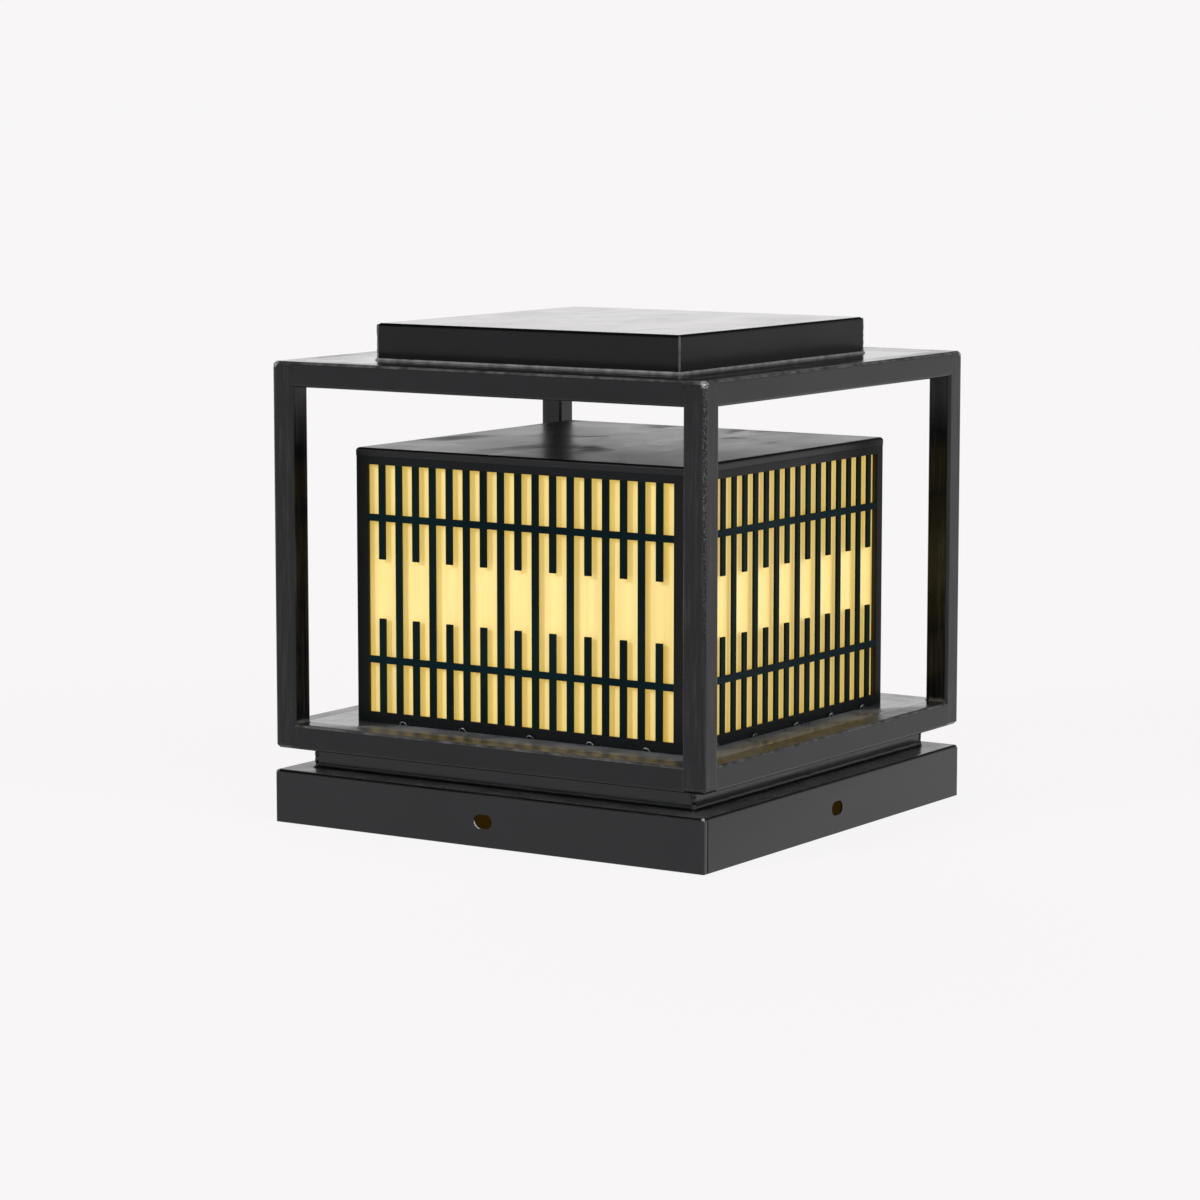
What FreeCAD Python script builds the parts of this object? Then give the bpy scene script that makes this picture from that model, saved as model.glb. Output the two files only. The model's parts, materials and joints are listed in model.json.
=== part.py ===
"""Outdoor post light: a lattice lantern inside a welded square-tube cage on a pillar skirt.

Millimetres, +Z up. The origin is the centre of the skirt's lower rim. The front is -Y.
"""
import FreeCAD, Part
import os

from FreeCAD import Vector

# Cage of square tube
frame_width = 300.0
tube_side = 15.0
tube_wall = 1.2
tube_corner_radius = 2.0
end_plate_thickness = 3.0
end_plate_grind = 1.8

# Folded sheet: skirt, cap, floor and roof
sheet = 1.0
fold_radius = 2.0
skirt_height = 32.0
cap_setback = 44.5
cap_height = 22.0
floor_recess = 0.5
roof_recess = 0.5

# Neck of upright rectangular tube between skirt and floor
neck_inset = 17.0
neck_tube_width = 13.0
neck_reveal = 13.0

# Fixing slots in the skirt
slot_length = 12.5
slot_width = 8.4
slot_centre_height = 15.0

# Lantern
lantern_setback = 35.0
lantern_height = 164.5
lantern_head_gap = 37.0
grille_sheet = 1.5
lid_flange = 5.0
panel_edge_radius = 0.8

# Lattice cut into each lantern panel
bar_count = 17
bar_width = 4.5
stile_width = 7.2
top_band = 9.8
bottom_band = 6.5
crossbar_height = 4.2
crossbar_drop = 31.6
finger_gap = 35.4

# Diffuser behind the lattice
gasket_thickness = 3.0
gasket_margin = 2.0
diffuser_thickness = 3.0
diffuser_clearance = 0.2
diffuser_head_room = 2.0

# Gear plate that closes the service opening from below
opening_ledge = 13.0
gear_plate_lap = 12.0
gear_plate_sheet = 1.5
cable_opening = 26.0

# Porcelain lampholder on the gear plate
holder_length = 64.0
holder_width = 44.0
holder_corner = 9.0
holder_base_height = 8.0
holder_wall = 5.75
holder_floor = 6.5
holder_rim_gap = 1.5
wire_opening = 4.0
wire_opening_offset = 8.5
shell_wall = 0.5
shell_clearance = 0.15
shell_rim_gap = 1.5
thread_clearance = 0.05
contact_strip = 0.6
contact_width = 6.0
contact_reach = 5.0
contact_gap = 0.2
contact_height = 9.0

# Tubular lamp with an E27 screw cap
lamp_cap_radius = 13.05
lamp_cap_height = 27.0
lamp_cap_shoulder = 2.0
lamp_tip_radius = 4.8
lamp_tip_height = 1.2
lamp_insulator_height = 3.3
lamp_insulator_radius = 8.0
lamp_shoulder_radius = 11.5
lamp_body_height = 14.0
lamp_length = 115.0
lamp_radius = 18.5
lamp_end_bevel = 4.0

# Largest rounding as a share of the wall that carries it
rounding_share = 0.9

# Plan positions, measured from the axis
half_frame = frame_width / 2
rail_inner = half_frame - tube_side
neck_outer = half_frame - neck_inset
neck_inner = neck_outer - neck_tube_width
cap_half = half_frame - cap_setback
lantern_half = half_frame - lantern_setback
gasket_outer = lantern_half - grille_sheet
diffuser_outer = gasket_outer - gasket_thickness
diffuser_inner = diffuser_outer - diffuser_thickness
opening_half = diffuser_inner - opening_ledge
panel_start = grille_sheet - lantern_half
window_left = panel_start + stile_width
window_right = lantern_half - stile_width
gear_half = opening_half + gear_plate_lap

# Heights above the skirt's rim
cage_bottom = skirt_height + neck_reveal
bottom_rail_top = cage_bottom + tube_side
floor_top = bottom_rail_top - floor_recess
floor_bottom = floor_top - sheet
lantern_top = floor_top + lantern_height
panel_top = lantern_top - lid_flange
window_top = lantern_top - top_band
window_bottom = floor_top + bottom_band
top_rail_bottom = lantern_top + lantern_head_gap
cage_top = top_rail_bottom + tube_side
roof_top = cage_top - roof_recess
gear_bottom = floor_bottom - gear_plate_sheet

# Lampholder and lamp: heights and radii
bore_floor = floor_bottom + holder_floor
lamp_tip = bore_floor + contact_height
insulator_bottom = lamp_tip + lamp_tip_height
lamp_cap_bottom = insulator_bottom + lamp_insulator_height
lamp_cap_top = lamp_tip + lamp_cap_height
lamp_cover_bottom = lamp_cap_top + lamp_body_height
lamp_top = lamp_tip + lamp_length
holder_top = lamp_cap_top - holder_rim_gap
shell_inner = lamp_cap_radius + thread_clearance
shell_outer = shell_inner + shell_wall
holder_bore = shell_outer + shell_clearance

SIDES = ("front", "right", "back", "left")
CORNERS = ("front_right", "back_right", "back_left", "front_left")
ORIGIN = Vector(0, 0, 0)
ACROSS = Vector(1, 0, 0)
INWARD = Vector(0, 1, 0)
UP = Vector(0, 0, 1)


def export(node, shape):
    """Write one sub-part to its own STEP file."""
    shape.exportStep(os.path.join("parts", node + ".step"))


def turned(shape, quarter_turns):
    """Copy a shape and turn it about the lamp's axis."""
    copy = shape.copy()
    copy.rotate(ORIGIN, UP, 90 * quarter_turns)
    return copy


def block(low, high):
    """Box between two corners."""
    low = Vector(*low)
    size = Vector(*high) - low
    return Part.makeBox(size.x, size.y, size.z, low)


def cylinder(radius, bottom, top, x=0.0, y=0.0):
    """Upright cylinder between two heights."""
    return Part.makeCylinder(radius, top - bottom, Vector(x, y, bottom))


def polygon(points):
    """Closed wire through points."""
    corners = [Vector(*point) for point in points]
    return Part.makePolygon(corners + corners[:1])


def obround(length, width):
    """Closed wire of a slot with half-round ends, along X in the level plane of the origin."""
    radius = width / 2
    reach = length / 2 - radius
    right = Part.Arc(Vector(reach, -radius, 0), Vector(length / 2, 0, 0), Vector(reach, radius, 0))
    left = Part.Arc(Vector(-reach, radius, 0), Vector(-length / 2, 0, 0), Vector(-reach, -radius, 0))
    top = Part.makeLine(Vector(reach, radius, 0), Vector(-reach, radius, 0))
    bottom = Part.makeLine(Vector(-reach, -radius, 0), Vector(reach, -radius, 0))
    return Part.Wire([right.toShape(), top, left.toShape(), bottom])


def prism(wire, height):
    """Solid extruded upwards from a level outline."""
    return Part.Face(wire).extrude(UP * height)


def revolved(points):
    """Solid of revolution from (radius, height) points."""
    face = Part.Face(polygon([(radius, 0, height) for radius, height in points]))
    return face.revolve(ORIGIN, UP, 360)


def box_tube(width, depth, length, radius):
    """Upright rectangular tube with round outer corners, standing on the origin."""
    outer = block((-width / 2, -depth / 2, 0), (width / 2, depth / 2, length))
    if radius:
        corners = [edge for edge in outer.Edges if edge.BoundBox.ZLength > length / 2]
        outer = outer.makeFillet(radius, corners)
    bore_width = width / 2 - tube_wall
    bore_depth = depth / 2 - tube_wall
    return outer.cut(block((-bore_width, -bore_depth, 0), (bore_width, bore_depth, length)))


def laid_along_x(tube, length, y, z):
    """Lay an upright tube along X, centred on the given line."""
    tube.rotate(ORIGIN, INWARD, 90)
    tube.translate(Vector(-length / 2, y, z))
    return tube


def pan(half, bottom, top, wall):
    """Folded square pan, open below, with bent upper edges and welded corners."""
    body = block((-half, -half, bottom), (half, half, top))
    folds = [edge for edge in body.Edges if edge.BoundBox.ZMin > bottom]
    body = body.makeFillet(fold_radius, folds)
    inner = half - wall
    return body.cut(block((-inner, -inner, bottom), (inner, inner, top - wall)))


def build_base():
    """Pillar skirt, its fixing slots and the neck that stands on it."""
    skirt = pan(half_frame, 0.0, skirt_height, sheet)
    opening = block((-neck_inner, -neck_inner, 0), (neck_inner, neck_inner, skirt_height))
    slot = prism(obround(slot_length, slot_width), 2 * frame_width)
    slot.rotate(ORIGIN, ACROSS, 90)
    slot.translate(Vector(0, frame_width, slot_centre_height))
    export("base_skirt", skirt.cut(opening).cut(slot).cut(turned(slot, 1)))

    height = floor_bottom - skirt_height
    length = 2 * neck_outer
    tube = box_tube(height, neck_tube_width, length, 0)
    centre = (neck_outer + neck_inner) / 2
    rail = laid_along_x(tube, length, -centre, skirt_height + height / 2)
    mitre = prism(polygon([
        (-neck_outer, -neck_outer, skirt_height),
        (neck_outer, -neck_outer, skirt_height),
        (neck_inner, -neck_inner, skirt_height),
        (-neck_inner, -neck_inner, skirt_height),
    ]), height)
    rail = rail.common(mitre)
    for turn, side in enumerate(SIDES):
        export("neck_rail_" + side, turned(rail, turn))


def ground_end_plate():
    """Plate that closes a post's upper end, with its outer corner and outer edges ground off."""
    half = tube_side / 2
    plate = block((-half, -half, 0), (half, half, end_plate_thickness))
    near = tube_corner_radius / 2
    corner = [
        edge for edge in plate.Edges
        if edge.BoundBox.XMin > half - near and edge.BoundBox.YMax < near - half
    ]
    plate = plate.makeFillet(tube_corner_radius, corner)
    rim = [
        edge for edge in plate.Edges
        if edge.BoundBox.ZMin > end_plate_thickness / 2
        and (edge.BoundBox.XMin > half - near or edge.BoundBox.YMax < near - half
             or edge.BoundBox.DiagonalLength < 2 * tube_corner_radius)
    ]
    largest = rounding_share * min(tube_corner_radius, end_plate_thickness)
    return plate.makeChamfer(min(end_plate_grind, largest), rim)


def build_cage():
    """Four posts with closed ends, and the rails between them."""
    centre = half_frame - tube_side / 2
    post_length = cage_top - cage_bottom - 2 * end_plate_thickness
    post = box_tube(tube_side, tube_side, post_length, tube_corner_radius)
    post.translate(Vector(centre, -centre, cage_bottom + end_plate_thickness))

    top_plate = ground_end_plate()
    bottom_plate = top_plate.mirror(ORIGIN, UP)
    top_plate.translate(Vector(centre, -centre, cage_top - end_plate_thickness))
    bottom_plate.translate(Vector(centre, -centre, cage_bottom + end_plate_thickness))

    length = 2 * rail_inner
    end_plates = []
    for turn, (side, corner) in enumerate(zip(SIDES, CORNERS)):
        export("post_" + corner, turned(post, turn))
        end_plates += [turned(top_plate, turn), turned(bottom_plate, turn)]
        for level, bottom in (("bottom", cage_bottom), ("top", top_rail_bottom)):
            tube = box_tube(tube_side, tube_side, length, tube_corner_radius)
            rail = laid_along_x(tube, length, -centre, bottom + tube_side / 2)
            export(level + "_rail_" + side, turned(rail, turn))
    export("post_end_plates", Part.makeCompound(end_plates))


def build_plates():
    """Floor with its service opening, roof between the top rails, and the cap on the roof."""
    floor = block((-rail_inner, -rail_inner, floor_bottom), (rail_inner, rail_inner, floor_top))
    opening = block((-opening_half, -opening_half, floor_bottom), (opening_half, opening_half, floor_top))
    export("floor_plate", floor.cut(opening))
    roof_bottom = roof_top - sheet
    export("roof_plate", block((-rail_inner, -rail_inner, roof_bottom), (rail_inner, rail_inner, roof_top)))
    export("top_cap", pan(cap_half, roof_top, roof_top + cap_height, sheet))


def lattice_windows():
    """Cut-outs of one lantern panel as closed wires on its outer face.

    Full bars alternate with fingers that reach in from both bands and stop short of the middle.
    """
    face = -lantern_half
    gap = (window_right - window_left - bar_count * bar_width) / (bar_count + 1)
    pitch = gap + bar_width
    upper = window_top - crossbar_drop
    lower = window_bottom + crossbar_drop
    middle = (window_top + window_bottom) / 2
    finger_low = middle - finger_gap / 2
    finger_high = middle + finger_gap / 2
    windows = []
    for index in range(bar_count + 1):
        x0 = window_left + index * pitch
        x1 = x0 + gap
        spans = (
            (upper + crossbar_height / 2, window_top),
            (window_bottom, lower - crossbar_height / 2),
        )
        for z0, z1 in spans:
            windows.append(polygon([(x0, face, z0), (x1, face, z0), (x1, face, z1), (x0, face, z1)]))
    z0 = lower + crossbar_height / 2
    z1 = upper - crossbar_height / 2
    for index in range(0, bar_count, 2):
        x0 = window_left + index * pitch
        x1 = x0 + gap
        x2 = x1 + bar_width
        x3 = x2 + gap
        outline = (
            (x0, z0), (x1, z0), (x1, finger_low), (x2, finger_low), (x2, z0), (x3, z0),
            (x3, z1), (x2, z1), (x2, finger_high), (x1, finger_high), (x1, z1), (x0, z1),
        )
        windows.append(polygon([(x, face, z) for x, z in outline]))
    return windows


def lattice_panel():
    """Front lantern panel: cut sheet that laps one neighbour, with its free edge eased."""
    face = -lantern_half
    outline = polygon([
        (panel_start, face, floor_top), (lantern_half, face, floor_top),
        (lantern_half, face, panel_top), (panel_start, face, panel_top),
    ])
    lattice = Part.makeFace([outline, *lattice_windows()], "Part::FaceMakerBullseye")
    panel = lattice.extrude(INWARD * grille_sheet)
    near = grille_sheet / 2 - lantern_half
    corner = [edge for edge in panel.Edges if edge.BoundBox.XMin > -near and edge.BoundBox.YMax < near]
    return panel.makeFillet(min(panel_edge_radius, rounding_share * grille_sheet), corner)


def build_lantern():
    """Lattice panels set in a pinwheel, folded lid, and the diffuser sheets with their seals."""
    panel = lattice_panel()
    foam = block((-diffuser_outer, -gasket_outer, floor_top), (gasket_outer, -diffuser_outer, panel_top))
    foam = foam.cut(block(
        (window_left - gasket_margin, -gasket_outer, window_bottom - gasket_margin),
        (window_right + gasket_margin, -diffuser_outer, window_top + gasket_margin),
    ))
    diffuser_top = lantern_top - grille_sheet - diffuser_head_room
    diffuser = block(
        (diffuser_clearance - diffuser_outer, -diffuser_outer, floor_top),
        (diffuser_inner - diffuser_clearance, -diffuser_inner, diffuser_top),
    )
    for turn, side in enumerate(SIDES):
        export("grille_" + side, turned(panel, turn))
        export("diffuser_gasket_" + side, turned(foam, turn))
        export("diffuser_" + side, turned(diffuser, turn))
    export("lantern_lid", pan(lantern_half, panel_top, lantern_top, grille_sheet))


def build_gear_plate():
    """Plate that closes the service opening from below, with its opening for the supply wires."""
    plate = block((-gear_half, -gear_half, gear_bottom), (gear_half, gear_half, floor_bottom))
    half = cable_opening / 2
    export("gear_plate", plate.cut(block((-half, -half, gear_bottom), (half, half, floor_bottom))))


def build_lampholder():
    """Porcelain lampholder with its screw shell and centre contact."""
    half_x = holder_width / 2
    half_y = holder_length / 2
    inner_x = half_x - holder_corner
    inner_y = half_y - holder_corner
    outline = polygon([
        (inner_x, -half_y, floor_bottom), (half_x, -inner_y, floor_bottom),
        (half_x, inner_y, floor_bottom), (inner_x, half_y, floor_bottom),
        (-inner_x, half_y, floor_bottom), (-half_x, inner_y, floor_bottom),
        (-half_x, -inner_y, floor_bottom), (-inner_x, -half_y, floor_bottom),
    ])
    base = prism(outline, holder_base_height)
    body = base.fuse(cylinder(holder_bore + holder_wall, floor_bottom, holder_top)).removeSplitter()
    body = body.cut(cylinder(holder_bore, bore_floor, holder_top))
    half = wire_opening / 2
    for side in (-1, 1):
        y = side * wire_opening_offset
        body = body.cut(block((-half, y - half, floor_bottom), (half, y + half, bore_floor)))
    export("lampholder_body", body)

    shell_top = holder_top - shell_rim_gap
    shell = cylinder(shell_outer, bore_floor, shell_top)
    export("lampholder_shell", shell.cut(cylinder(shell_inner, bore_floor, shell_top)))

    half = contact_width / 2
    tongue_top = lamp_tip - contact_gap
    foot = block((-contact_reach, -half, bore_floor), (contact_reach, half, bore_floor + contact_strip))
    riser = block((contact_reach - contact_strip, -half, bore_floor), (contact_reach, half, tongue_top))
    tongue = block((-contact_reach, -half, tongue_top - contact_strip), (contact_reach, half, tongue_top))
    export("lampholder_contact", foot.fuse([riser, tongue]).removeSplitter())


def build_lamp():
    """Screw-in lamp: tip contact, insulator, cap, body and opal cover."""
    shoulder = lamp_cap_bottom + lamp_cap_shoulder
    export("lamp_tip_contact", cylinder(lamp_tip_radius, lamp_tip, insulator_bottom))
    export("lamp_insulator", cylinder(lamp_insulator_radius, insulator_bottom, lamp_cap_bottom))
    export("lamp_cap", revolved([
        (0, lamp_cap_bottom), (lamp_shoulder_radius, lamp_cap_bottom), (lamp_cap_radius, shoulder),
        (lamp_cap_radius, lamp_cap_top), (0, lamp_cap_top),
    ]))
    export("lamp_body", cylinder(lamp_radius, lamp_cap_top, lamp_cover_bottom))
    export("lamp_cover", revolved([
        (0, lamp_cover_bottom), (lamp_radius, lamp_cover_bottom), (lamp_radius, lamp_top - lamp_end_bevel),
        (lamp_radius - lamp_end_bevel, lamp_top), (0, lamp_top),
    ]))


def main():
    os.makedirs("parts", exist_ok=True)
    build_base()
    build_cage()
    build_plates()
    build_lantern()
    build_gear_plate()
    build_lampholder()
    build_lamp()


main()
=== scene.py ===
"""Outdoor post light: paint, welds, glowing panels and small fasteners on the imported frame."""

import json
import math

import bmesh
import bpy
from mathutils import Matrix, Vector, noise


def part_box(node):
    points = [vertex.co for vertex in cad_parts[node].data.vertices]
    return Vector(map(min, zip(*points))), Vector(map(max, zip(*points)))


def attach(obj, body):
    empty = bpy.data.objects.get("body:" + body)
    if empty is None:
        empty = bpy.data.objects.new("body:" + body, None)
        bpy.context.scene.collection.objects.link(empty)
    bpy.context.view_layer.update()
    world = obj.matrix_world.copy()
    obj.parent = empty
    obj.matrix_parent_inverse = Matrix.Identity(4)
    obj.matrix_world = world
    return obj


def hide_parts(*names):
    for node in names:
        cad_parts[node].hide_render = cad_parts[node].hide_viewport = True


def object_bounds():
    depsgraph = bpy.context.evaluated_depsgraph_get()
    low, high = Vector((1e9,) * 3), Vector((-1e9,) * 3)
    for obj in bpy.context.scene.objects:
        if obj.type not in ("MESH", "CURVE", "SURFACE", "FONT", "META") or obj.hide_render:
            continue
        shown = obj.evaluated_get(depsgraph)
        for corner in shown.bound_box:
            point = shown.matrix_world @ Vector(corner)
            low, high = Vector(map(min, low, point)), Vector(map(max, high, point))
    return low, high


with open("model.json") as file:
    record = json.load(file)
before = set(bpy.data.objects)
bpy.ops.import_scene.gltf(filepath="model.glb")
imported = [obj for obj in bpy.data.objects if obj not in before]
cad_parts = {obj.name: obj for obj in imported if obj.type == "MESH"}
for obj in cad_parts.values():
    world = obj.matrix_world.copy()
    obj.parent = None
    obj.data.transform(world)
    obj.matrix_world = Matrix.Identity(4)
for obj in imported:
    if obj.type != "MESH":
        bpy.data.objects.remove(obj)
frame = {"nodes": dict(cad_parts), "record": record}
nodes = frame["nodes"]
cad_low, cad_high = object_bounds()

mm = 0.001
SIDES = ("front", "right", "back", "left")
CORNERS = ((-1, -1), (1, -1), (1, 1), (-1, 1))

# Tint of the paint's reflections
cool_gloss = (0.94, 0.965, 1.0, 1.0)

# Camera: the photograph's angle, distance and framing
camera_azimuth = math.radians(33.038)
camera_elevation = math.radians(7.440)
camera_distance = 2.40891
camera_lens = 119.32
camera_sensor = 36.0
target_height = 0.12789
target_shift = -0.01401

# Sky: its white, its strength on dull faces, and what gloss reflects from horizon, ceiling and soft box
background = (0.939, 0.922, 0.930, 1.0)
sky_fill = 0.1
horizon_gloss = 0.62
ceiling_gloss = 0.05
ceiling_start = 0.2
ceiling_end = 0.42
rim_gloss = 0.62
rim_direction = Vector((-0.74, 0.64, 0.1))
rim_start = 0.55
rim_end = 0.9

# Strength, softness and direction of each light
lights = {
    "key": (1.1, math.radians(12), Vector((-0.32, -0.84, 0.44))),
    "fill": (1.15, math.radians(80), Vector((0.72, -0.58, 0.36))),
    "bounce": (1.5, math.radians(60), Vector((1.0, -0.12, 0.25))),
    "rim": (0.95, math.radians(50), Vector((-0.66, 0.66, 0.36))),
}
lights_in_gloss = ("key", "fill")

# Studio floor, dark with painted shade where the skirt covers it
floor_size = 60.0
floor_albedo = (0.9, 0.885, 0.892, 1.0)
floor_glow = 0.906
floor_white = (0.979, 0.962, 0.970, 1.0)
# Painted shade: the floor's dark colour inside the skirt, seen through its slots
painted_skirt_shade = (0.023, 0.0125, 0.001, 1.0)
painted_skirt_shade_fade = (4 * mm, 1 * mm)

# Weather: where it fades in across the plan's diagonal, from the back left to the front right
weather_fade = (18 * mm, 40 * mm)

# Marks on posts and low rails: how far in from the cage's outside, or above a rail, each fades in
post_weld_band = (2.4 * mm, 1.4 * mm)
post_band = (18 * mm, 15 * mm)
low_rail_band = (15 * mm, 10 * mm)

# Shares of the light's height between which the specks of the post welds fade in
post_weld_rise = (0.4, 0.7)

# Smear round the cap and film round the lantern: distances from their walls between which each fades in
roof_smear_band = (12 * mm, 2 * mm)
floor_film_band = (26 * mm, 20 * mm)

# Corners worn bare and pale as a painted glint: how far in each spot lies, and its radius
post_corner_inset = 1.2 * mm
post_glint_radius = 3.2 * mm
skirt_corner_inset = 0.5 * mm
skirt_glint_radius = 1.7 * mm

# Easing of edges: what counts as one point, as flat and as an edge
merge_distance = 0.002 * mm
flat_angle = math.radians(0.5)
edge_angle = math.radians(30)

# How closely a face's normal follows an axis to count as square to it, with the facets of a fold or without
square_on = 0.97
flat_on = 0.99

# Angle above which shading shows an edge, on plain pieces, beads and uneven welds
sharp_angle = math.radians(35)
bead_angle = math.radians(60)
weld_angle = math.radians(70)

# Edges eased on folded and cut sheet
pan_edge = 0.5 * mm
plate_edge = 0.25 * mm
lattice_edge = 0.12 * mm
porcelain_edge = 0.9 * mm
cap_plate_edge = 0.75 * mm

# Weld tacks along the lantern's foot, as places along each panel
tack_places = (-81 * mm, -38 * mm, 10 * mm, 51.5 * mm, 90 * mm)
tack_radius = 2.3 * mm
tack_rim = 0.42 * mm
tack_lean = math.radians(24)

# Welds ground flush where rails meet posts, and fillet welds round the neck and at the posts' feet
tube_radius = 2 * mm
flush_gap = 0.015 * mm
neck_fillet_leg = 2.2 * mm
rail_fillet_leg = 2.6 * mm
fillet_wobble = 0.22
fillet_bends = 5

# Ripples per metre along each kind of weld
neck_ripple = 260
rail_ripple = 300
corner_ripple = 420

# Bands round the lattice of a lantern panel
lattice_stile = 7.2 * mm
lattice_head = 4.8 * mm
lattice_foot = 6.5 * mm

# Height of the fixing slots, their reach along the skirt, and the largest facet of their cut edge
slot_height = 15 * mm
slot_zone = 8 * mm
slot_facet = 8 * mm * mm

# Open seam beside two opposite corners of the skirt
seam_offset = 3.2 * mm
seam_width = 1.3 * mm
seam_depth = 0.6 * mm

# The skirt's extra materials: in the seam, a painted highlight on the slots' bare lower left edges, and a
# duller paint as painted shade between seam and corner
skirt_extras = ("seal_foam", "cut_edge_highlight", "cap")
seam_index = 1
edge_highlight_index = 2
shaded_lap_index = 3

# Sealing bead at the cap's foot: its radius, and its place as shares of it
seal_radius = 0.9 * mm
seal_outward = 0.4
seal_rise = 0.3

# Welds up the corners of cap and neck: radius, wobble, and shares of the radius sunk in and left at the end
cap_weld_radius = 0.7 * mm
neck_weld_radius = 1.3 * mm
corner_weld_wobble = 0.45
corner_weld_sink = 0.6
corner_weld_end = 0.5

# Filler smoothed over the joint between plate and rails
filler_lap = 8 * mm
filler_skin = 0.02 * mm

# Fasteners under and on the gear plate
gear_screw_place = 99.5 * mm
holder_screw_place = 26.5 * mm
holder_base_height = 8 * mm
earth_place = -60 * mm
screw_flange_radius = 4.6 * mm
screw_flange_height = 0.8 * mm
screw_hex_radius = 3.9 * mm
screw_hex_height = 3.0 * mm
screw_ease = 0.25 * mm
nut_radius = 4.0 * mm
nut_height = 3.2 * mm
nut_ease = 0.3 * mm
screw_radius = 2.0 * mm
screw_tip = 1.2 * mm
screw_sides = 24
hexagon = 6

# Lamp: its thread, the share of the cap where the thread runs out, and the cover's round end
thread_pitch = 3.62 * mm
thread_depth = 1.0 * mm
thread_runout = 0.12
runout_depth = 0.9
lamp_end_radius = 9 * mm
lamp_sides = 72


class Look:
    """A material under construction: its node tree and its main shader."""

    def __init__(self, name):
        self.material = bpy.data.materials.new(name)
        self.material.use_nodes = True
        self.tree = self.material.node_tree
        self.surface = self.tree.nodes["Principled BSDF"]
        self.place = self.add("ShaderNodeTexCoord").outputs["Object"]

    def add(self, kind, **options):
        node = self.tree.nodes.new(kind)
        for key, value in options.items():
            setattr(node, key, value)
        return node

    def feed(self, socket, value):
        if isinstance(value, bpy.types.NodeSocket):
            self.tree.links.new(value, socket)
        else:
            socket.default_value = value

    def set(self, **sockets):
        """Set the shader's own sockets; an underscore stands for a space."""
        for name, value in sockets.items():
            self.feed(self.surface.inputs[name.replace("_", " ")], value)

    def scaled_place(self, scale):
        mapping = self.add("ShaderNodeMapping")
        self.feed(mapping.inputs["Vector"], self.place)
        mapping.inputs["Scale"].default_value = scale
        return mapping.outputs["Vector"]

    def noise(self, per_metre, detail=3.0, stretch=(1.0, 1.0, 1.0), distortion=0.0):
        node = self.add("ShaderNodeTexNoise")
        self.feed(node.inputs["Vector"], self.scaled_place([per_metre * share for share in stretch]))
        node.inputs["Scale"].default_value = 1.0
        node.inputs["Detail"].default_value = detail
        node.inputs["Distortion"].default_value = distortion
        return node.outputs[0]

    def cells(self, per_metre, output="Distance"):
        node = self.add("ShaderNodeTexVoronoi")
        self.feed(node.inputs["Vector"], self.place)
        node.inputs["Scale"].default_value = per_metre
        return node.outputs[output]

    def ranged(self, value, low, high, to_low=0.0, to_high=1.0):
        node = self.add("ShaderNodeMapRange")
        for name, part in zip(("Value", "From Min", "From Max", "To Min", "To Max"),
                              (value, low, high, to_low, to_high)):
            self.feed(node.inputs[name], part)
        return node.outputs["Result"]

    def math(self, operation, first, second=0.0):
        node = self.add("ShaderNodeMath", operation=operation)
        self.feed(node.inputs[0], first)
        self.feed(node.inputs[1], second)
        return node.outputs[0]

    def product(self, first, *others):
        """All values multiplied."""
        for other in others:
            first = self.math("MULTIPLY", first, other)
        return first

    def mix(self, factor, first, second):
        node = self.add("ShaderNodeMix", data_type="RGBA")
        self.feed(node.inputs["Factor"], factor)
        self.feed(node.inputs[6], first)
        self.feed(node.inputs[7], second)
        return node.outputs[2]

    def bump(self, height, distance, below=None):
        node = self.add("ShaderNodeBump")
        node.inputs["Strength"].default_value = 1.0
        node.inputs["Distance"].default_value = distance
        self.feed(node.inputs["Height"], height)
        if below:
            self.feed(node.inputs["Normal"], below)
        return node.outputs["Normal"]

    def axis(self, vector, name):
        node = self.add("ShaderNodeSeparateXYZ")
        self.feed(node.inputs[0], vector)
        return node.outputs[name]

    def plan(self):
        """Distances from the light's two upright middle planes."""
        return [self.math("ABSOLUTE", self.axis(self.place, name)) for name in ("X", "Y")]

    def rise(self):
        """How far the surface faces up: 1 on level tops, 0 on walls."""
        return self.axis(self.add("ShaderNodeNewGeometry").outputs["Normal"], "Z")

    def facing_up(self):
        """1 on level tops, 0 elsewhere."""
        return self.ranged(self.rise(), 0.75, 0.98)

    def fed(self, name):
        """The socket that feeds one of the shader's inputs."""
        return self.surface.inputs[name].links[0].from_socket

    def cover(self, mask, colour):
        """Lay a colour over the base colour where a mask is 1."""
        self.set(Base_Color=self.mix(mask, self.fed("Base Color"), colour))

    def roughen(self, mask, amount):
        """Add to the roughness where a mask is 1."""
        self.set(Roughness=self.math("ADD", self.fed("Roughness"), self.math("MULTIPLY", mask, amount)))

    def emboss(self, height, distance):
        """Lay a bump over the present one."""
        self.set(Normal=self.bump(height, distance, below=self.fed("Normal")))


def weathered_sides(look):
    """1 along the front and right sides of the plan, which the weather reached, and 0 along the others."""
    across = look.math("SUBTRACT", look.axis(look.place, "X"), look.axis(look.place, "Y"))
    return look.ranged(across, *weather_fade)


def wall_band(look, wall, band):
    """1 close to a square's walls in plan and 0 away from them, fading over a band outside them."""
    x, y = look.plan()
    return look.ranged(look.math("MAXIMUM", x, y), wall + band[0], wall + band[1])


def shade(level, tint=(1.0, 1.0, 1.0)):
    """Colour from a grey level and a tint."""
    return (level * tint[0], level * tint[1], level * tint[2], 1.0)


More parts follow.
